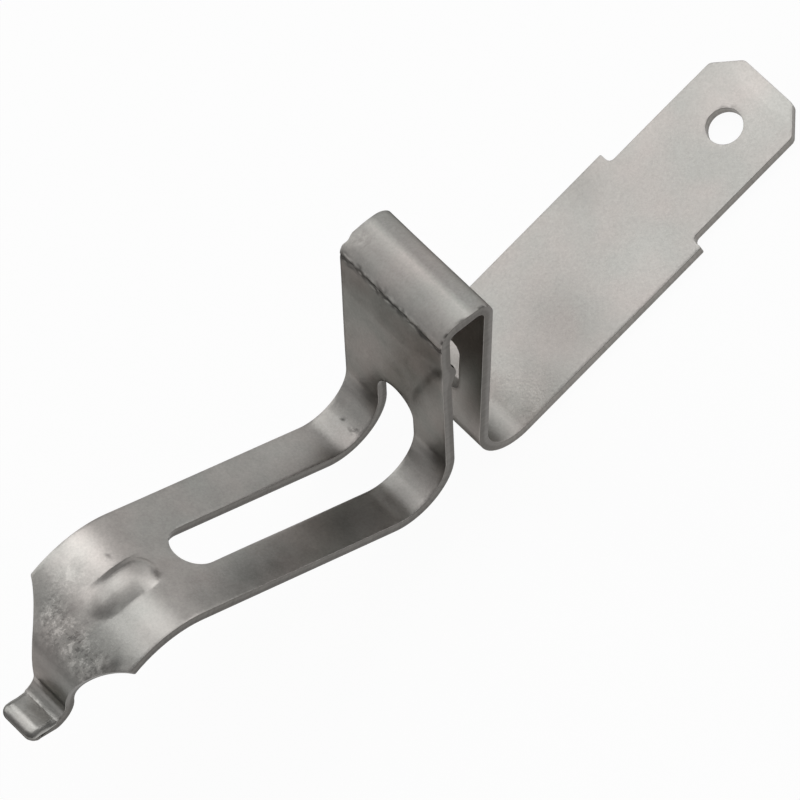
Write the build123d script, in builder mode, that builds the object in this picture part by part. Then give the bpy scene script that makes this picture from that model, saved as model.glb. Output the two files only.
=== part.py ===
from build123d import *
from math import asin, degrees, sqrt
import os

# A drip tray clip: one strip of stainless sheet, folded into a screw-down blade, a
# narrow channel that straddles a rail, and a slotted hook that ends in a curled tab.
# The origin is the screw hole's centre on the blade's underside, +X runs out to the
# tongue's tip, Y across the strip and +Z up through the screw hole.

# Strip, mm
strip_width = 20.0
sheet_thickness = 1.5

# Tongue at the blade's free end
tongue_width = 16.3
tongue_length = 22.0
tongue_chamfer = 3.4
tongue_corner_radius = 1.0
shoulder_radius = 0.8
screw_hole_diameter = 5.2
screw_hole_inset = 8.25

# Flats, between bends
blade_length = 54.75
rear_wall_length = 26.0
channel_top_length = 3.3
front_wall_length = 25.8
leg_length = 34.05
tab_length = 3.6

# Bends, radius on the inner side
heel_radius = 4.6
fold_radius = 1.25
hook_radius = 6.2
crown_radius = 12.75
nose_radius = 8.4
toe_radius = 2.0

# How the flats lie and how far the front bends turn, degrees
rear_wall_angle = 66.3  # rear wall above the blade
channel_top_angle = 16.3  # channel's top, down toward the front
channel_taper_angle = 3.4  # front wall closes on the rear wall, going down
leg_angle = 40.4  # leg above the blade
crown_angle = 75.4
nose_angle = 36.5
toe_angle = 87.3

# Window in the rear wall
window_width = 11.0
window_height = 9.5
window_sill_height = 5.4  # above the heel's bend
window_corner_radius = 1.5

# Slot that runs down the front wall, round the hook and up the leg
slot_width = 7.0
slot_rise = 6.2  # its arch above the hook's bend
slot_land = 3.5  # flat left between its end and the crown

# Front, scalloped down to the tab
scallop_angle = 52.8  # degrees of the crown left at full width
scallop_radius = 12.8
tab_width = 6.5
tab_corner_radius = 1.3
tab_rim_radius = 0.7  # where its tip is rolled over on the visible face

# Stiffening bead, pressed up from under the crown
bead_width = 5.2
bead_length = 10.9
bead_height = 0.8

# Dimple, pressed into one edge of the front wall
dimple_width = 5.2
dimple_depth = 1.0
dimple_drop = 7.15  # below the front fold
dimple_inset = 0.7  # its centre from the strip's edge

# Ends and clearances that follow
tip_x = screw_hole_inset
shoulder_x = tip_x - tongue_length
overrun = 2 * sheet_thickness  # how far a cut runs past the sheet's face


def on_face(line, share):
    """Plane on the visible face, x along the strip, y across it and z out of the sheet."""
    point = line @ share
    ahead = line % share
    return Plane(
        origin=(point.X, 0, point.Y),
        x_dir=(ahead.X, 0, ahead.Y),
        z_dir=(ahead.Y, 0, -ahead.X),
    )


def ball_radius(width, depth):
    """Radius of the ball that presses a dish of this width and depth."""
    return (depth**2 + (width / 2) ** 2) / (2 * depth)


# The strip in side view, along its visible face from the tongue's tip to the tab's tip
with BuildSketch(Plane.XZ) as side_view:
    with BuildLine():
        blade = PolarLine((tip_x, sheet_thickness), blade_length, direction=(-1, 0))
        heel = JernArc(blade @ 1, blade % 1, heel_radius, rear_wall_angle - 180)
        rear_wall = PolarLine(heel @ 1, rear_wall_length, direction=heel % 1)
        rear_fold = JernArc(
            rear_wall @ 1,
            rear_wall % 1,
            fold_radius + sheet_thickness,
            180 - channel_top_angle - rear_wall_angle,
        )
        channel_top = PolarLine(rear_fold @ 1, channel_top_length, direction=rear_fold % 1)
        front_fold = JernArc(
            channel_top @ 1,
            channel_top % 1,
            fold_radius + sheet_thickness,
            channel_top_angle + rear_wall_angle + channel_taper_angle,
        )
        front_wall = PolarLine(front_fold @ 1, front_wall_length, direction=front_fold % 1)
        hook = JernArc(
            front_wall @ 1,
            front_wall % 1,
            hook_radius,
            -(rear_wall_angle + channel_taper_angle + leg_angle),
        )
        leg = PolarLine(hook @ 1, leg_length, direction=hook % 1)
        crown = JernArc(leg @ 1, leg % 1, crown_radius + sheet_thickness, crown_angle)
        nose = JernArc(crown @ 1, crown % 1, nose_radius + sheet_thickness, nose_angle)
        toe = JernArc(nose @ 1, nose % 1, toe_radius, -toe_angle)
        tab = PolarLine(toe @ 1, tab_length, direction=toe % 1)
        offset(amount=sheet_thickness, side=Side.LEFT)
    make_face()

# Sizes that the pressed forms take from the bends they are pressed in
crown_face_radius = crown_radius + sheet_thickness
crown_axis_point = (crown.arc_center.X, 0, crown.arc_center.Y)
bead_ball = ball_radius(bead_width, bead_height)
bead_path_radius = crown_face_radius + bead_height - bead_ball
bead_end_angle = degrees(bead_width / 2 / crown_face_radius)
bead_angle = degrees((bead_length - bead_width) / crown_face_radius)


def bead_form(radius):
    """Round-ended bar that follows the crown under its skin."""
    first = on_face(crown, bead_end_angle / crown_angle)
    last = on_face(crown, (bead_end_angle + bead_angle) / crown_angle)
    sink = bead_path_radius - crown_face_radius
    section = Plane(first.offset(sink).origin, x_dir=first.y_dir, z_dir=first.x_dir)
    with BuildPart() as form:
        with BuildSketch(section):
            Circle(radius)
        revolve(axis=Axis(crown_axis_point, (0, -1, 0)), revolution_arc=bead_angle)
        with Locations(first.offset(sink), last.offset(sink)):
            Sphere(radius)
    return form.part


# Skin of the bead, outside the middle of the sheet
with BuildPart() as bead_skin:
    add(bead_form(bead_ball))
    with BuildSketch(Plane.XZ):
        with Locations((crown.arc_center.X, crown.arc_center.Y)):
            Circle(crown_radius + sheet_thickness / 2)
    extrude(amount=strip_width / 2, both=True, mode=Mode.SUBTRACT)

# Back of the dimple, kept to the sheet's far side and to the strip's width
dimple_ball = ball_radius(dimple_width, dimple_depth)
dimple_face = on_face(front_wall, dimple_drop / front_wall_length)
dimple_centre = dimple_face.offset(dimple_ball - dimple_depth).origin
dimple_centre.Y = dimple_inset - strip_width / 2
with BuildPart() as dimple_back:
    with Locations(dimple_centre):
        Sphere(dimple_ball + sheet_thickness)
    with BuildSketch(dimple_face.offset(-sheet_thickness / 2)):
        Rectangle(strip_width, strip_width)
    extrude(amount=-(sheet_thickness + dimple_depth), mode=Mode.INTERSECT)

with BuildPart() as drip_tray_clip:
    extrude(side_view.sketch, amount=strip_width / 2, both=True)

    # Tongue, with its shoulders and clipped corners
    with BuildSketch(Plane.XY) as tongue_trim:
        with BuildLine():
            Polyline(
                (shoulder_x, strip_width / 2 + overrun),
                (shoulder_x, tongue_width / 2),
                (tip_x - tongue_chamfer, tongue_width / 2),
                (tip_x, tongue_width / 2 - tongue_chamfer),
                (tip_x, 0),
                (tip_x + overrun, 0),
                (tip_x + overrun, strip_width / 2 + overrun),
                close=True,
            )
        make_face()
        corners = tongue_trim.vertices()
        shoulder = corners.sort_by_distance((shoulder_x, tongue_width / 2))[0]
        clipped = corners.sort_by_distance((tip_x, tongue_width / 2))[:2]
        fillet(shoulder, shoulder_radius)
        fillet(clipped, tongue_corner_radius)
        mirror(about=Plane.XZ)
    extrude(amount=overrun, both=True, mode=Mode.SUBTRACT)

    Hole(screw_hole_diameter / 2)

    # Window, cut through the rear wall only
    window_share = (window_sill_height + window_height / 2) / rear_wall_length
    with BuildSketch(on_face(rear_wall, window_share)):
        RectangleRounded(window_height, window_width, window_corner_radius)
    extrude(amount=overrun, both=True, mode=Mode.SUBTRACT)

    # Slot: its length in side view, then its two round ends
    slot_arch_share = 1 - (slot_rise - slot_width / 2) / front_wall_length
    slot_end_share = 1 - (slot_land + slot_width / 2) / leg_length
    with BuildSketch(Plane.XZ):
        with BuildLine():
            Line(front_wall @ slot_arch_share, front_wall @ 1)
            add(hook)
            Line(leg @ 0, leg @ slot_end_share)
        trace(line_width=2 * overrun)
    extrude(amount=slot_width / 2, both=True, mode=Mode.SUBTRACT)
    with BuildSketch(on_face(front_wall, slot_arch_share), on_face(leg, slot_end_share)):
        Circle(slot_width / 2)
    extrude(amount=overrun, both=True, mode=Mode.SUBTRACT)

    # Scallops either side of the tab, seen square to the crown's end
    crown_end = on_face(crown, 1)
    scallop_corner = on_face(crown, scallop_angle / crown_angle).origin
    scallop_x = crown_end.to_local_coords(scallop_corner).X
    scallop_depth = (strip_width - tab_width) / 2
    scallop_length = sqrt(scallop_depth * (2 * scallop_radius - scallop_depth))
    front_reach = nose.length + toe.length + tab.length
    with BuildSketch(crown_end):
        with BuildLine():
            scallop = CenterArc(
                (scallop_x + scallop_length, tab_width / 2 + scallop_radius),
                scallop_radius,
                270,
                -degrees(asin(scallop_length / scallop_radius)),
            )
            Polyline(
                scallop @ 0,
                (front_reach, tab_width / 2),
                (front_reach, strip_width / 2 + overrun),
                (scallop_x, strip_width / 2 + overrun),
                scallop @ 1,
            )
        make_face()
        mirror(about=Plane.XZ)
    extrude(amount=crown_radius, both=True, mode=Mode.SUBTRACT)
    tab_end = on_face(tab, 1)
    tab_tip = faces().sort_by(Axis(tab_end.origin, tab_end.x_dir))[-1]
    fillet(tab_tip.edges().group_by(SortBy.LENGTH)[0], tab_corner_radius)
    tab_skin = faces().sort_by_distance(on_face(tab, 0.5).origin)[0]
    fillet(tab_skin.edges().sort_by(Axis(tab_end.origin, tab_end.x_dir))[-3:], tab_rim_radius)

    # Bead up through the crown, and dimple through the front wall's edge
    add(bead_skin.part)
    add(bead_form(bead_ball - sheet_thickness), mode=Mode.SUBTRACT)
    add(dimple_back.part)
    with Locations(dimple_centre):
        Sphere(dimple_ball, mode=Mode.SUBTRACT)

drip_tray_clip.part.label = "drip_tray_clip"

os.makedirs("parts", exist_ok=True)
export_step(drip_tray_clip.part, "parts/drip_tray_clip.step")
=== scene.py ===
import math

import bmesh
import bpy
from mathutils import Matrix, Vector, noise


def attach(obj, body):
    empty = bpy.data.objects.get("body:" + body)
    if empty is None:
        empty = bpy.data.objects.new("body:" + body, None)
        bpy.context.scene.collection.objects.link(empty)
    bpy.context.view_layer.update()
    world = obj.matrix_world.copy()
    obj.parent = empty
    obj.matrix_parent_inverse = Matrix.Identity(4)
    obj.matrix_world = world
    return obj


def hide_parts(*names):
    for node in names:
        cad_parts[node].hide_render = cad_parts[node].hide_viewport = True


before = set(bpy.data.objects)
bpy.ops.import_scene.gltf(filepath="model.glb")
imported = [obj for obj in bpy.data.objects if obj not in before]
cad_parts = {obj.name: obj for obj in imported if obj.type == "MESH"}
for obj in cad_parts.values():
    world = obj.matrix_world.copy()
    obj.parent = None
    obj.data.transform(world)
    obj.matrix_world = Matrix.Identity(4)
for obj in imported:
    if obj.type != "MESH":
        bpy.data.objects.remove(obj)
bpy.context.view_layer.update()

# A drip tray clip: one blanked and folded strip of stainless sheet. The blank is made
# flat, with u along the strip from the tongue's tip, v across it and w through it, up
# to the side that is seen, all in millimetres. It is then folded along its mid-line.

MM = 0.001

# The strip and its blanked forms
STRIP_HALF_WIDTH = 10.0
SHEET = 1.5
RIM = 0.06  # rounding that tumbling leaves on every sheared rim
RIM_STEPS = 3
TONGUE_HALF_WIDTH = 8.15
TONGUE_LENGTH = 22.0
TONGUE_CHAMFER = 3.4
TIP_X = 8.25
SHOULDER_FILLET = 0.8  # in the inner corners where the tongue meets its shoulders
SHOULDER_CORNER = 0.25
SCREW_HOLE = (8.25, 2.55)  # centre along the strip, radius
WINDOW = (70.767, 80.267, 5.5, 1.5)  # start, end, half width, corner radius
SLOT = (124.169, 167.274, 3.5)  # centres of its round ends, radius
SCALLOP_END = 198.69
SCALLOP_RADIUS = 14.0
SCALLOP_HORN = 0.2  # rounding of the horns where the scallops start
SCALLOP_LAND = 0.25  # straight left between a scallop's arc and its horn
TAB_HALF_WIDTH = 3.25
TAB_CORNER = 1.3
HAIR = 0.01  # what a rounding stops short of a half circle, so that an edge is left

# The mid-line's runs: name, length or radius, turn in degrees
RUNS = (
    ("blade", 54.75, 0),
    ("heel", 5.35, -113.7),
    ("rear wall", 26.0, 0),
    ("rear fold", 2.0, 97.4),
    ("channel top", 3.3, 0),
    ("front fold", 2.0, 86.0),
    ("front wall", 25.8, 0),
    ("hook", 6.95, -110.1),
    ("leg", 34.05, 0),
    ("crown", 13.5, 75.4),
    ("nose", 9.15, 36.5),
    ("toe", 2.9, -75.5),
    ("score", 1.0, -26),
    ("tab", 2.3, 0),
    ("tab bow", 1.8, 44),
    ("tab end", 0.55, 0),
)

# Pressed forms. The bead's flanks rise by a power of the way in from its foot: the mean
# of both flanks, and how far each departs from it.
BEAD = (177.2, 182.3, -0.3, 2.8, 0.55)  # end centres, centre across, half width, height
BEAD_FLANKS = (3.3, 1.6)
BEAD_FOOT = 0.04  # how softly its foot meets the sheet
BEAD_FADE = (181.0, 185.0, 0.55)  # start, end and share lost toward the nose
DIMPLE = (108.22, -9.3, 2.6, 1.0)  # centre along and across, radius, depth behind
DIMPLE_FILLED = 0.94  # share of that depth which the seen side doesn't show
FOLD_CROWN = (96.5, -0.06, 2.8, 0.22)  # place, its drift across, reach, height
WAVES = (14, 0.05)  # length and height of the waves that rolling and handling leave
TIP_COINING = (1.9, 2.5, 0.03)  # lower band round the tongue's tip: its limits, depth
TAB_ROLL = 0.85  # rounding where the tab's rim is rolled over
TAB_ROLL_START = 0.4  # how far past the score it is fully rolled
FOLD_NICK = (99.1, 0.9, 0.30)  # in the fold's far end: place, reach, depth

# Lines across the strip, each as places along it and across it: where the die closed on
# the front fold, the edge of a band of painted shade below it, and a crease from the dimple
DIE_LINE = (
    (102.1, -10), (101.6, -6.6), (101.3, -1.9), (101.35, -0.2), (101.0, 5.9), (101.3, 10),
)
DIE_GROOVE = (0.6, 0.08)  # reach, depth
DIE_BURR = (-0.8, 0.5, 0.06)  # place beside the line, reach, height
DIE_SCAR = (1.15, 0.8, 0.55)  # mean reach, how far it varies, least reach
# where a painted shade below the die line ends, and how much darker it is painted
PAINTED_SHADE_LINE = ((105.1, -10), (108.6, -1.6), (108.5, 6.7), (107.6, 10))
PAINTED_SHADE_AMOUNT = 0.10
CREASE = ((106.4, -10), (109.0, -7.9), (114.6, -5.5), (118.6, -3.6))
CREASE_REACH = 2.2
CREASE_DEPTH = 0.04
# painted shade along the crease
CREASE_SHADE = 0.34

# Bands along the strip where stretched skin turned matt: the heel, and the two folds
MATT_BANDS = ((52.5, 56, 63, 66), (91.6, 93.6, 99.9, 101.1))

# Where the crown slides on its rail: place, its drift across, reach, then its sides
RAIL_SCUFF = (189.3, -0.17, 4.4)
RAIL_SCUFF_SIDES = (-9, -6, 4, 7)

# Other places where the skin is picked and scuffed: centre along and across, reach
# along and across, and share of it
SCUFFS = (
    (98.4, 8.6, 2.4, 3.0, 0.3),
    (134.6, 4.6, 0.9, 0.9, 1.0),
    (184.0, 5.5, 5.0, 5.0, 0.35),
    (201.8, 0.0, 0.9, 9.0, 0.7),
)

# Small pits: centre along and across, radius
PITS = (
    (134.2, 4.4, 0.6),
    (134.4, 7.0, 0.5),
    (134.8, 5.2, 0.5),
    (178.3, 4.3, 0.5),
    (187.4, -6.0, 0.5),
    (188.6, -6.6, 0.8),
)

# Painted highlights and painted shade where the metal's reflections and shade fall, and a
# few stains: centre along and across, reach along and across, and how much darker or
# lighter the skin is painted
PAINTED_LIGHT_AND_STAINS = (
    # tongue and blade
    (1.4, 0.0, 2.2, 14.0, 0.15),
    (5.0, -1.0, 7.0, 12.0, 0.10),
    (16.0, 8.5, 5.0, 5.0, 0.06),
    (27.0, 9.0, 5.0, 6.0, -0.12),
    (28.0, -5.0, 7.0, 7.0, 0.08),
    (41.5, -3.5, 8.0, 11.0, -0.20),
    # heel
    (53.2, -6.0, 5.5, 10.0, 0.80),
    (59.0, 7.0, 5.0, 7.0, 0.36),
    # channel's top and front fold
    (94.8, 0.0, 1.0, 30.0, -0.14),
    (96.1, 0.0, 1.1, 30.0, 0.36),
    (96.6, -8.5, 2.4, 4.5, 0.20),
    (98.2, 0.0, 1.0, 30.0, -0.16),
    (99.3, 9.2, 2.4, 2.6, 0.30),
    (99.8, 0.0, 1.0, 30.0, 0.20),
    # front wall
    (104.5, 0.0, 4.5, 30.0, -0.08),
    (108.0, -8.0, 2.4, 3.0, -0.16),
    (118.0, 0.0, 9.0, 30.0, 0.10),
    (120.0, 0.0, 4.5, 4.5, 0.26),
    # hook and leg
    (126.2, -9.2, 2.6, 2.6, 0.32),
    (126.2, 4.0, 2.6, 2.2, 0.32),
    (128.6, 0.0, 1.7, 30.0, -0.12),
    (128.9, -6.6, 1.9, 6.5, -0.44),
    (129.0, 6.6, 1.9, 5.6, -0.40),
    (136.6, -7.0, 3.8, 7.0, -0.42),
    (137.0, 6.0, 4.0, 6.0, -0.22),
    (139.0, 3.2, 3.5, 3.4, -0.35),
    (145.0, 8.0, 7.0, 5.0, 0.14),
    (146.0, -7.0, 8.0, 6.0, -0.34),
    (150.0, 7.5, 12.0, 5.0, 0.08),
    (165.0, -8.0, 13.0, 6.0, -0.32),
    # crown and nose
    (176.4, -1.6, 1.7, 1.6, -0.32),
    (180.0, 0.3, 2.4, 0.8, 0.12),
    (180.6, 8.0, 6.4, 8.0, 0.46),
    (181.0, -6.5, 5.0, 6.0, 0.12),
    (182.8, -1.7, 2.0, 1.4, -0.28),
    (186.3, 2.2, 1.6, 1.0, -0.18),
    (187.4, -7.6, 2.0, 1.6, -0.50),
    (189.0, 4.0, 3.0, 7.0, 0.22),
    (190.8, 0.0, 1.8, 12.0, 0.22),
    (192.5, 0.0, 2.0, 12.0, -0.10),
    (195.0, 0.0, 2.2, 12.0, -0.32),
    (197.6, 0.0, 1.3, 12.0, 0.36),
    # toe and tab
    (201.0, 0.0, 1.0, 12.0, -0.30),
    (204.9, -1.0, 0.7, 4.5, 0.20),
    (205.9, 0.0, 0.7, 12.0, -0.50),
)


def run_length(size, turn):
    """Length of a run, whose size is its radius where it turns."""
    return math.radians(abs(turn)) * size if turn else size


STARTS = {}
STRIP_LENGTH = 0.0
for name, size, turn in RUNS:
    STARTS[name] = STRIP_LENGTH
    STRIP_LENGTH += run_length(size, turn)

# Cuts along the strip: degrees and length between them in a bend, length on a flat
BEND_DEGREES = 3
BEND_STEP = 0.4
FLAT_STEP = 1.2
# Closer cuts, as start, step and count: the tip's coining, the die line, the dimple with
# the painted shade line, and the tab's rolled end
CLOSE_CUTS = (
    (1.9, 0.3, 3), (99.6, 0.13, 36), (104.4, 0.4, 18), (STARTS["tab end"], 0.15, 8),
)
# Cuts lengthwise: step across the strip, and places inside the tab's sides
ACROSS_STEP = 0.5
TAB_RIM_CUTS = (0.15, 0.3, 0.6)


def soft_step(low, high, value):
    """0 at low, 1 at high, smooth between them and level beyond them."""
    share = min(max((value - low) / (high - low), 0.0), 1.0)
    return share * share * (3 - 2 * share)


def hump(centre, reach, value):
    """1 at the centre, falling smoothly to 0 where value is reach away from it."""
    return 1 - soft_step(0, reach, abs(value - centre))


def band(low, full, still, high, value):
    """1 from full to still, falling smoothly to 0 at low and at high."""
    return soft_step(low, full, value) * (1 - soft_step(still, high, value))


def line_at(line, v):
    """How far along the strip a tool line runs, v across it."""
    for (u0, v0), (u1, v1) in zip(line, line[1:]):
        if v <= v1:
            break
    return u0 + (u1 - u0) * (v - v0) / (v1 - v0)


def rough(u, v, grain, seed):
    """Even noise between about -1 and 1, with lumps of some grain millimetres."""
    return 1.6 * noise.noise(Vector((u / grain, v / grain, seed)))


def on_mid_line(u):
    """Point and heading of the folded mid-line, u millimetres from the tongue's tip."""
    x, z, heading = TIP_X, SHEET / 2, math.pi
    for name, size, turn in RUNS:
        last = name == RUNS[-1][0]
        go = u if last else min(u, run_length(size, turn))
        if turn:
            side = math.copysign(1.0, turn)
            step = side * go / size
            x += side * size * (math.sin(heading + step) - math.sin(heading))
            z -= side * size * (math.cos(heading + step) - math.cos(heading))
            heading += step
        else:
            x += go * math.cos(heading)
            z += go * math.sin(heading)
        u -= go
        if u <= 0:
            break
    return x, z, heading


def bead(u, v):
    """Height of the stiffening bead: a round-ended rib with a crisp foot on its far side
    and a roof-like slope on its near side, which dies away toward the nose."""
    start, end, centre, half_width, height = BEAD
    away = math.hypot(max(start - u, 0.0, u - end), v - centre)
    if away > 2 * half_width:
        return 0.0
    mean, apart = BEAD_FLANKS
    power = mean + apart * (v - centre) / max(away, 0.01)
    rise = height * (1 - (away / half_width) ** power)
    soft = (rise + math.hypot(rise, BEAD_FOOT)) / 2
    fade_start, fade_end, lost = BEAD_FADE
    return soft * (1 - lost * soft_step(fade_start, fade_end, u))


def dimple(u, v):
    """Depth of the dimple on the side behind."""
    place, across, radius, depth = DIMPLE
    away = min(math.hypot(u - place, v - across) / radius, 1.0)
    return depth * (0.5 + 0.5 * math.cos(math.pi * away))


def die_groove(u, v):
    """Depth that the closing die pressed in, less the burr that it raised above."""
    if not 99.5 < u < 104.5:
        return 0.0
    off = u - line_at(DIE_LINE, v)
    lump = rough(u, v, grain=0.9, seed=5.0)
    reach, depth = DIE_GROOVE
    groove = depth * hump(0, reach, off + 0.2 * lump) * (0.8 + 0.6 * lump)
    place, reach, height = DIE_BURR
    burr = height * hump(place, reach, off) * soft_step(-0.1, 0.5, lump)
    return groove - burr


def on_crease(u, v):
    """1 on the crease that runs out of the dimple, 0 beside it and past its end."""
    if not (104.5 < u < 122 and v < -3):
        return 0.0
    return hump(0, CREASE_REACH, u - line_at(CREASE, v)) * soft_step(-3, -4.2, v)


def sheet_shift(u, v, w):
    """How far the sheet stands off its mid-line, along w."""
    seen = 0.5 + w / SHEET  # 1 on the side that is seen, 0 on the other
    shift = bead(u, v) - dimple(u, v) * (1 - DIMPLE_FILLED * seen)
    place, drift, reach, height = FOLD_CROWN
    shift += height * seen * hump(place + drift * v, reach, u)
    length, height = WAVES
    shift += height * seen * rough(u, v, grain=length, seed=1.7)
    return shift - seen * (die_groove(u, v) + CREASE_DEPTH * on_crease(u, v))


def scuffed_share(u, v):
    """How far the skin is scuffed, most of all where the crown slides on its rail."""
    place, drift, reach = RAIL_SCUFF
    axis = place + drift * v + 0.9 * rough(u, v, grain=5, seed=2.0)
    scuffed = hump(axis, reach, u) * band(*RAIL_SCUFF_SIDES, v)
    for place, across, along, wide, share in SCUFFS:
        scuffed = max(scuffed, share * hump(place, along, u) * hump(across, wide, v))
    return scuffed


def scarred_share(u, v):
    """How far the skin is scarred: on the die line, in pits and on the crumbled rim of
    the channel's near end."""
    scarred = 0.0
    if 99 < u < 104.5:
        off = u - line_at(DIE_LINE, v) + 0.35 * rough(u, v, grain=0.8, seed=3.0)
        mean, varies, least = DIE_SCAR
        reach = max(mean + varies * rough(0, v, grain=2.6, seed=4.0), least)
        flecks = soft_step(-0.8, -0.1, rough(u, v, grain=0.6, seed=9.0))
        scarred = hump(0, reach, off) * flecks
    for place, across, radius in PITS:
        scarred = max(scarred, hump(0, radius, math.hypot(u - place, v - across)))
    if 93 < u < 101.5 and v < -9:
        crumbled = soft_step(-0.2, 0.4, rough(u, v, grain=0.5, seed=6.0))
        scarred = max(scarred, soft_step(-9.5, -9.9, v) * crumbled)
    return scarred


def painted_light_shade_and_stains(u, v):
    """How light the skin is painted, with highlights, shade and stains, where 1 is
    unchanged.
    """
    shade = 1.0
    for place, across, along, wide, change in PAINTED_LIGHT_AND_STAINS:
        shade += change * hump(place, along, u) * hump(across, wide, v)
    # painted shade: the wall between the die line and the painted shade line is darker, and
    # so is the crease
    if 100 < u < 112:
        above = soft_step(0.4, -0.4, u - line_at(PAINTED_SHADE_LINE, v))
        shade -= PAINTED_SHADE_AMOUNT * soft_step(101.2, 102, u) * above
    return shade - CREASE_SHADE * on_crease(u, v)


def rim_drop(inset, roll):
    """How far a rolled rim has dropped, inset millimetres inside its outline."""
    short = max(roll - inset, 0.0)
    return roll - math.sqrt(max(roll**2 - short**2, 0.0))


def tab_inset(u, v):
    """How far a point is inside the tab's outline, past the score."""
    ahead = STRIP_LENGTH - TAB_CORNER - u
    aside = TAB_HALF_WIDTH - TAB_CORNER - abs(v)
    if ahead < 0 and aside < 0:
        return TAB_CORNER - math.hypot(ahead, aside)
    return TAB_CORNER + min(ahead, aside)


def tip_inset(u, v):
    """How far a point is inside the tongue's tip and its clipped corners."""
    clip = (u + TONGUE_HALF_WIDTH - abs(v) - TONGUE_CHAMFER) / math.sqrt(2)
    return min(u, clip)


def folded(co):
    """Where a point of the flat blank lies once the strip is folded, in metres."""
    u, v, w = co
    x, z, heading = on_mid_line(u)
    if w > 0:
        top = w / (SHEET / 2)
        low, high, depth = TIP_COINING
        w -= depth * top * (1 - soft_step(low, high, tip_inset(u, v)))
        if u > STARTS["score"]:
            rolled = rim_drop(tab_inset(u, v), TAB_ROLL)
            full = STARTS["tab"] + TAB_ROLL_START
            w -= top * rolled * soft_step(STARTS["score"], full, u)
    w += sheet_shift(u, v, w)
    place, reach, depth = FOLD_NICK
    v -= depth * hump(place, reach, u) * soft_step(8.8, 10, v)
    return Vector((x + w * math.sin(heading), v, z - w * math.cos(heading))) * MM


def half_outline():
    """Corners of one half of the blank, from the tip round to the tab, then back down
    the middle past the openings: along, across, and the tangent length of its rounding."""
    hole, hole_radius = SCREW_HOLE
    sill, head, window_half, window_corner = WINDOW
    slot_start, slot_end, slot_half = SLOT
    clip = math.tan(math.radians(22.5))
    depth = STRIP_HALF_WIDTH - TAB_HALF_WIDTH
    turn = math.acos(1 - depth / SCALLOP_RADIUS)
    tangent = SCALLOP_RADIUS * math.tan(turn / 2)
    return (
        (0.0, 0.0, 0.0),
        (0.0, TONGUE_HALF_WIDTH - TONGUE_CHAMFER, clip),
        (TONGUE_CHAMFER, TONGUE_HALF_WIDTH, clip),
        (TONGUE_LENGTH, TONGUE_HALF_WIDTH, SHOULDER_FILLET),
        (TONGUE_LENGTH, STRIP_HALF_WIDTH, SHOULDER_CORNER),
        (SCALLOP_END - SCALLOP_RADIUS * math.sin(turn), STRIP_HALF_WIDTH, SCALLOP_HORN),
        (SCALLOP_END - tangent, TAB_HALF_WIDTH, tangent - SCALLOP_LAND),
        (STRIP_LENGTH, TAB_HALF_WIDTH, TAB_CORNER),
        (STRIP_LENGTH, 0.0, 0.0),
        (slot_end + slot_half, 0.0, 0.0),
        (slot_end + slot_half, slot_half, slot_half - HAIR),
        (slot_start - slot_half, slot_half, slot_half - HAIR),
        (slot_start - slot_half, 0.0, 0.0),
        (head, 0.0, 0.0),
        (head, window_half, window_corner),
        (sill, window_half, window_corner),
        (sill, 0.0, 0.0),
        (hole + hole_radius, 0.0, 0.0),
        (hole + hole_radius, hole_radius, hole_radius - HAIR),
        (hole - hole_radius, hole_radius, hole_radius - HAIR),
        (hole - hole_radius, 0.0, 0.0),
    )


def flat_blank():
    """The flat blank in a bmesh, with its openings, its thickness and rounded rims."""
    bm = bmesh.new()
    corners = [(bm.verts.new((u, v, 0)), tangent) for u, v, tangent in half_outline()]
    bm.faces.new([vert for vert, _ in corners])
    for vert, tangent in corners:
        if tangent:
            bmesh.ops.bevel(
                bm, geom=[vert], offset=tangent, offset_type="OFFSET", affect="VERTICES",
                segments=max(4, round(tangent * 5)), profile=0.5, material=-1,
            )
    bmesh.ops.mirror(
        bm, geom=bm.faces[:] + bm.edges[:] + bm.verts[:], axis="Y", merge_dist=1e-4
    )
    bmesh.ops.recalc_face_normals(bm, faces=bm.faces[:])
    if bm.faces[0].normal.z < 0:
        bmesh.ops.reverse_faces(bm, faces=bm.faces[:])

    # Half the thickness is raised from the middle of the sheet, its rim is rounded by
    # insets, and the other half is its mirror image
    raised = bmesh.ops.extrude_face_region(bm, geom=bm.faces[:])["geom"]
    skin = [g for g in raised if isinstance(g, bmesh.types.BMFace)]
    lifted = [g for g in raised if isinstance(g, bmesh.types.BMVert)]
    bmesh.ops.translate(bm, verts=lifted, vec=(0, 0, SHEET / 2 - RIM))
    for step in range(RIM_STEPS):
        low, high = (math.pi / 2 * k / RIM_STEPS for k in (step, step + 1))
        bmesh.ops.inset_region(
            bm, faces=skin, use_even_offset=True,
            thickness=RIM * (math.cos(low) - math.cos(high)),
            depth=RIM * (math.sin(high) - math.sin(low)),
        )
    middle = [f for f in bm.faces if all(abs(v.co.z) < 1e-6 for v in f.verts)]
    bmesh.ops.delete(bm, geom=middle, context="FACES")
    bmesh.ops.mirror(
        bm, geom=bm.faces[:] + bm.edges[:] + bm.verts[:], axis="Z", merge_dist=1e-5
    )
    bmesh.ops.recalc_face_normals(bm, faces=bm.faces[:])
    return bm


def cut(bm, place, across):
    """Cuts the whole blank at one place along the strip, or across it."""
    bmesh.ops.bisect_plane(
        bm, geom=bm.faces[:] + bm.edges[:] + bm.verts[:], dist=1e-5,
        plane_co=(0, place, 0) if across else (place, 0, 0),
        plane_no=(0, 1, 0) if across else (1, 0, 0),
    )


def cut_places():
    """Places along the strip to cut: close together where it bends, wider on flats."""
    places = []
    for name, size, turn in RUNS:
        length = run_length(size, turn)
        count = round(length / FLAT_STEP)
        if turn:
            count = max(round(abs(turn) / BEND_DEGREES), round(length / BEND_STEP))
        places += [STARTS[name] + length * k / count for k in range(count)]
    for start, step, count in CLOSE_CUTS:
        places += [start + step * k for k in range(count)]
    return sorted(places[1:])


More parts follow.
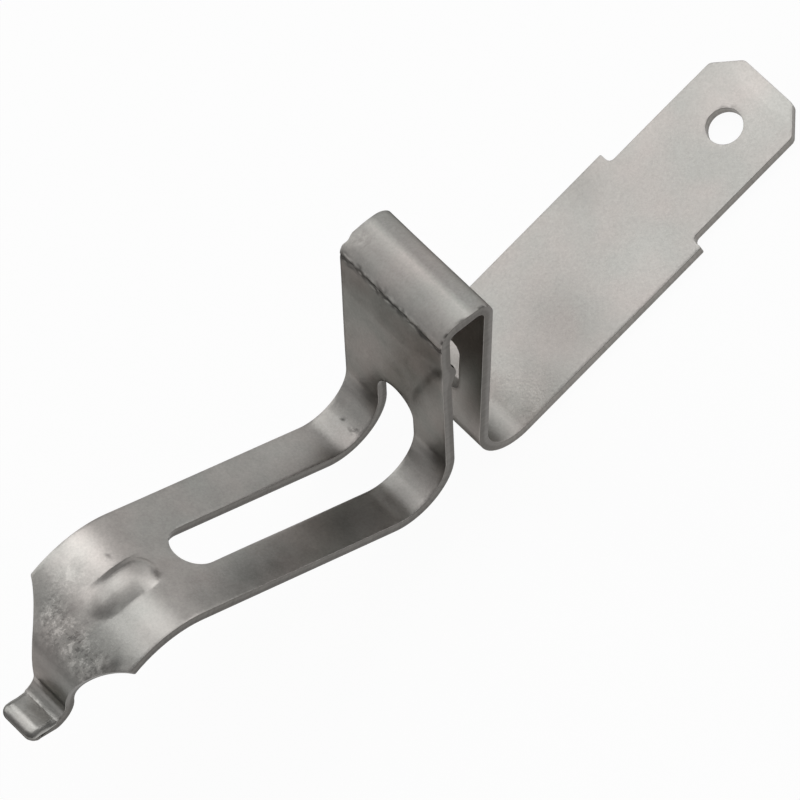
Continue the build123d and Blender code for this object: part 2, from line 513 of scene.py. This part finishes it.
def folded_strip():
    """The folded strip, which keeps its flat places, its wear, and its painted light and
    shade with stains, as attributes.
    """
    bm = flat_blank()
    rows = round(STRIP_HALF_WIDTH / ACROSS_STEP)
    for k in range(-rows, rows + 1):
        cut(bm, k * ACROSS_STEP, across=True)
    for inset in TAB_RIM_CUTS:
        for side in (-1, 1):
            cut(bm, side * (TAB_HALF_WIDTH - inset), across=True)
    for u in cut_places():
        cut(bm, u, across=False)
    flat = bm.verts.layers.float_vector.new("flat")
    wear = bm.verts.layers.float_vector.new("wear")
    # shade: painted highlights and painted shade, with a few stains
    shade = bm.verts.layers.float.new("shade")
    for face in bm.faces:
        face.smooth = True
        # a face that stands up in the flat blank was sheared
        face.material_index = 1 if abs(face.normal.z) < 0.3 else 0
    for vert in bm.verts:
        u, v, w = vert.co
        matt = max(band(*sides, u) for sides in MATT_BANDS)
        vert[flat] = vert.co
        vert[wear] = (matt, scuffed_share(u, v), scarred_share(u, v))
        vert[shade] = painted_light_shade_and_stains(u, v)
        vert.co = folded(vert.co)
    bmesh.ops.reverse_faces(bm, faces=bm.faces[:])
    mesh = bpy.data.meshes.new("folded_strip")
    bm.to_mesh(mesh)
    bm.free()
    piece = bpy.data.objects.new("folded_strip", mesh)
    bpy.context.scene.collection.objects.link(piece)
    return piece


strip = folded_strip()
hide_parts("drip_tray_clip")
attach(strip, "root")


# Materials

TIMES = {"operation": "MULTIPLY"}
TIMES_PLUS = {"operation": "MULTIPLY_ADD"}
SCALED = {"operation": "SCALE"}
LARGER = {"operation": "MAXIMUM"}
# A colour mix takes its colours at sockets 6 and 7 and gives the mix at output 2
MIX = {"data_type": "RGBA", "clamp_factor": True}
RELIEF = 0.04 * MM  # depth of the finest roughness


def linear(code):
    """A hex sRGB colour as linear RGBA."""
    parts = [int(code[k : k + 2], 16) / 255 for k in (0, 2, 4)]
    parts = [c / 12.92 if c < 0.04045 else ((c + 0.055) / 1.055) ** 2.4 for c in parts]
    return (*parts, 1.0)


def node(tree, kind, settings=None, **inputs):
    """Adds a node with its settings, and sets or links its inputs."""
    made = tree.nodes.new(kind)
    for key, value in (settings or {}).items():
        setattr(made, key, value)
    for key, value in inputs.items():
        socket = made.inputs[int(key[1:]) if key[1:].isdigit() else key.replace("_", " ")]
        if isinstance(value, bpy.types.Node):
            value = value.outputs[0]
        if isinstance(value, bpy.types.NodeSocket):
            tree.links.new(value, socket)
        else:
            socket.default_value = value
    return made


def new_material(name):
    """A material without nodes, and its node tree."""
    material = bpy.data.materials.new(name)
    material.use_nodes = True
    material.node_tree.nodes.clear()
    return material, material.node_tree


# Satin cold-rolled stainless: the skin of pickled sheet is flat but finely grained, so
# it mirrors the room softly, and its grain, stains and rubbed places show as slow
# clouds and fine mottling. The flat coordinates are in millimetres, so a pattern of d
# millimetres has a scale of 1 / d.
GRAIN = 0.3  # real grain is some 0.03 mm, drawn ten times as coarse so that it shows
CRUMBS = 1.3  # lumps that a rubbing rail picks out of the skin
MOTTLE = 2.4  # patches that pickling leaves
CLOUDS = 9.0  # finger grease and dried water

steel, tree = new_material("satin cold-rolled stainless")
flat = node(tree, "ShaderNodeAttribute", {"attribute_name": "flat"}).outputs["Vector"]
wear = node(tree, "ShaderNodeAttribute", {"attribute_name": "wear"}).outputs["Vector"]
shade = node(tree, "ShaderNodeAttribute", {"attribute_name": "shade"}).outputs["Fac"]
matt, scuffed, scarred = node(tree, "ShaderNodeSeparateXYZ", _0=wear).outputs

grain = node(
    tree, "ShaderNodeTexNoise", Vector=flat, Scale=1 / GRAIN, Detail=3.0, Roughness=0.6
)
mottle = node(
    tree, "ShaderNodeTexNoise", Vector=flat, Scale=1 / MOTTLE, Detail=4.0, Roughness=0.6
)
clouds = node(tree, "ShaderNodeTexNoise", Vector=flat, Scale=1 / CLOUDS, Detail=2.0)
crumbs = node(
    tree, "ShaderNodeTexNoise", Vector=flat, Scale=1 / CRUMBS, Detail=4.0, Roughness=0.7
)

cloudy = node(tree, "ShaderNodeMapRange", Value=clouds, From_Min=0.35, From_Max=0.65)
tone = node(
    tree, "ShaderNodeMix", MIX, Factor=cloudy, _6=linear("ABA6A2"), _7=linear("A5A4A0")
)
mottled = node(
    tree, "ShaderNodeMapRange", Value=mottle, From_Min=0.3, From_Max=0.7,
    To_Min=0.94, To_Max=1.06,
)
grained = node(
    tree, "ShaderNodeMapRange", Value=grain, From_Min=0.3, From_Max=0.7,
    To_Min=0.92, To_Max=1.08,
)
level = node(tree, "ShaderNodeMath", TIMES, _0=mottled, _1=grained)
# the shade attribute paints highlights, shade and stains onto the skin
level = node(tree, "ShaderNodeMath", TIMES, _0=level, _1=shade)
# scuffed skin is picked into dark pits and pale crumbs
pitted = node(tree, "ShaderNodeMapRange", Value=crumbs, From_Min=0.47, From_Max=0.38)
pitted = node(tree, "ShaderNodeMath", TIMES, _0=pitted, _1=scuffed)
crumbled = node(tree, "ShaderNodeMapRange", Value=crumbs, From_Min=0.52, From_Max=0.60)
crumbled = node(tree, "ShaderNodeMath", TIMES, _0=crumbled, _1=scuffed)
for mask, change in ((pitted, -0.40), (crumbled, 0.62), (scarred, -0.62)):
    change = node(tree, "ShaderNodeMath", TIMES_PLUS, _0=mask, _1=change, _2=1.0)
    level = node(tree, "ShaderNodeMath", TIMES, _0=level, _1=change)
colour = node(tree, "ShaderNodeVectorMath", SCALED, _0=tone.outputs[2], Scale=level)
# skin that is stretched round a tight fold, scuffed or scarred turns matt
roughness = node(
    tree, "ShaderNodeMapRange", Value=mottle, From_Min=0.3, From_Max=0.7,
    To_Min=0.30, To_Max=0.36,
)
for mask, change in ((matt, 0.18), (scuffed, 0.10), (scarred, 0.25)):
    roughness = node(
        tree, "ShaderNodeMath", TIMES_PLUS, _0=mask, _1=change, _2=roughness
    )
relief = node(tree, "ShaderNodeMath", TIMES_PLUS, _0=pitted, _1=-1.5, _2=grain)
relief = node(tree, "ShaderNodeMath", TIMES_PLUS, _0=crumbled, _1=1.0, _2=relief)
bump = node(tree, "ShaderNodeBump", Strength=0.4, Distance=RELIEF, Height=relief)
# the tint dims what pickled skin mirrors at low angles, where its pits shade each other
shader = node(
    tree, "ShaderNodeBsdfPrincipled", Base_Color=colour, Metallic=1.0, Roughness=roughness,
    Specular_Tint=linear("404040"), Normal=bump,
)
node(tree, "ShaderNodeOutputMaterial", Surface=shader)

# Sheared stainless edge: the punch leaves a smeared band next to the side it enters
# and a torn, duller band below it, both scored through the thickness
SCORES = 0.35  # between scores, which run eight times as long as they are wide
SCORE_STRETCH = (1, 1, 0.12)
WAVER = 3.0  # lengths over which the torn band wanders
# painted light: the sheared edge is painted brighter round the heel toward the blade
PAINTED_EDGE_LIGHT = (62.0, 50.0)  # where it brightens, round the heel toward the blade

edge, tree = new_material("sheared stainless edge")
flat = node(tree, "ShaderNodeAttribute", {"attribute_name": "flat"}).outputs["Vector"]
along, _, through = node(tree, "ShaderNodeSeparateXYZ", _0=flat).outputs
scored = node(tree, "ShaderNodeVectorMath", TIMES, _0=flat, _1=SCORE_STRETCH)
scores = node(tree, "ShaderNodeTexNoise", Vector=scored, Scale=1 / SCORES, Detail=3.0)
waver = node(tree, "ShaderNodeTexNoise", Vector=flat, Scale=1 / WAVER, Detail=2.0)
depth = node(tree, "ShaderNodeMath", TIMES_PLUS, _0=waver, _1=0.7, _2=through)
torn = node(tree, "ShaderNodeMapRange", Value=depth, From_Min=0.55, From_Max=0.25)
tone = node(
    tree, "ShaderNodeMix", MIX, Factor=torn, _6=linear("6C6965"), _7=linear("73706C")
)
scoring = node(
    tree, "ShaderNodeMapRange", Value=scores, From_Min=0.3, From_Max=0.7,
    To_Min=0.88, To_Max=1.12,
)
# painted highlight on the edge, up to 1.6 times as bright, which the scores' tone then
# carries
painted_edge_lift = node(
    tree, "ShaderNodeMapRange", Value=along, From_Min=PAINTED_EDGE_LIGHT[0],
    From_Max=PAINTED_EDGE_LIGHT[1], To_Min=1.0, To_Max=1.6,
)
scoring = node(tree, "ShaderNodeMath", TIMES, _0=scoring, _1=painted_edge_lift)
colour = node(tree, "ShaderNodeVectorMath", SCALED, _0=tone.outputs[2], Scale=scoring)
roughness = node(tree, "ShaderNodeMapRange", Value=torn, To_Min=0.38, To_Max=0.6)
bump = node(tree, "ShaderNodeBump", Strength=0.4, Distance=RELIEF, Height=scores)
shader = node(
    tree, "ShaderNodeBsdfPrincipled", Base_Color=colour, Metallic=1.0, Roughness=roughness,
    Normal=bump,
)
node(tree, "ShaderNodeOutputMaterial", Surface=shader)
strip.data.materials.append(steel)
strip.data.materials.append(edge)


# Floor, in metres: white studio paper, which the camera and the metal see as white
# while it keeps a little of the strip's shadow

MIDDLE = Vector((-0.056, 0, 0.015))  # the clip's middle
FLOOR_HALF = 1.5
FLOOR_DROP = 0.00002  # below the strip, so that the two don't touch
SEEN_WHITE = 0.95

floor_mesh = bpy.data.meshes.new("floor")
bm = bmesh.new()
bmesh.ops.create_grid(bm, x_segments=1, y_segments=1, size=FLOOR_HALF)
bmesh.ops.translate(bm, verts=bm.verts[:], vec=(MIDDLE.x, MIDDLE.y, -FLOOR_DROP))
bm.to_mesh(floor_mesh)
bm.free()
floor = bpy.data.objects.new("floor", floor_mesh)
bpy.context.scene.collection.objects.link(floor)
paper, tree = new_material("white studio paper")
path = node(tree, "ShaderNodeLightPath").outputs
seen = node(
    tree, "ShaderNodeMath", LARGER, _0=path["Is Camera Ray"], _1=path["Is Glossy Ray"]
)
seen = node(tree, "ShaderNodeMath", LARGER, _0=seen, _1=path["Is Transmission Ray"])
share = node(tree, "ShaderNodeMath", TIMES, _0=seen, _1=SEEN_WHITE)
shaded = node(tree, "ShaderNodeBsdfDiffuse", Color=linear("FCFCFC"))
white = node(tree, "ShaderNodeEmission", Color=linear("FFFFFF"), Strength=1.0)
mixed = node(tree, "ShaderNodeMixShader", _0=share, _1=shaded, _2=white)
node(tree, "ShaderNodeOutputMaterial", Surface=mixed)
floor_mesh.materials.append(paper)


# Light: a plain grey room, a small key close by, and wide soft boxes overhead and
# round the strip. The key and most others stand across the strip from the camera, so
# that the metal mirrors them.

world = bpy.data.worlds.new("studio")
bpy.context.scene.world = world
world.use_nodes = True
tree = world.node_tree
tree.nodes.clear()
room = node(tree, "ShaderNodeBackground", Color=linear("898989"), Strength=1.0)
node(tree, "ShaderNodeOutputWorld", Surface=room)

# Name, direction from the clip, distance and size in metres, radiance
SOFTBOXES = (
    ("near key", (0.45, 0.44, 0.78), 0.7, 0.36, 1.6),
    ("overhead", (0.0, 0.44, 0.90), 1.6, 0.5, 1.5),
    ("far fill", (-0.78, 0.44, 0.45), 1.6, 0.8, 0.37),
    ("side fill", (0.85, 0.44, 0.28), 1.6, 0.7, 0.5),
    ("back fill", (-0.2, 0.8, 0.56), 1.6, 1.2, 1.2),
    ("front fill", (0.87, 0.0, 0.5), 1.6, 0.8, 2.2),
    ("top fill", (0.17, 0.0, 0.98), 1.6, 1.0, 0.3),
)


def softbox(name, direction, distance, size, radiance):
    """A square lamp that faces the strip, as bright as a white card where radiance is 1."""
    data = bpy.data.lights.new(name, "AREA")
    data.size = size
    data.energy = radiance * math.pi * size**2
    lamp = bpy.data.objects.new(name, data)
    bpy.context.scene.collection.objects.link(lamp)
    away = Vector(direction).normalized()
    lamp.location = MIDDLE + away * distance
    lamp.rotation_mode = "QUATERNION"
    lamp.rotation_quaternion = away.to_track_quat("Z", "Y")


for box in SOFTBOXES:
    softbox(*box)


# Camera: its place in metres, its turn and its lens were fitted to the outlines in the
# photo

camera_data = bpy.data.cameras.new("camera")
camera_data.sensor_width = 36.0
camera_data.lens = 452.671
camera_data.clip_start, camera_data.clip_end = 0.1, 10.0
camera = bpy.data.objects.new("camera", camera_data)
bpy.context.scene.collection.objects.link(camera)
place = Vector((-0.107347, -0.576547, 1.181480))
right = Vector((0.702729, -0.649858, -0.289579))
up = Vector((0.710358, 0.618270, 0.336355))
back = Vector((-0.039545, -0.442071, 0.896108))
turned = Matrix((right, up, back)).transposed().to_4x4()
camera.matrix_world = Matrix.Translation(place) @ turned
bpy.context.scene.camera = camera

bpy.context.scene.view_settings.view_transform = "Standard"
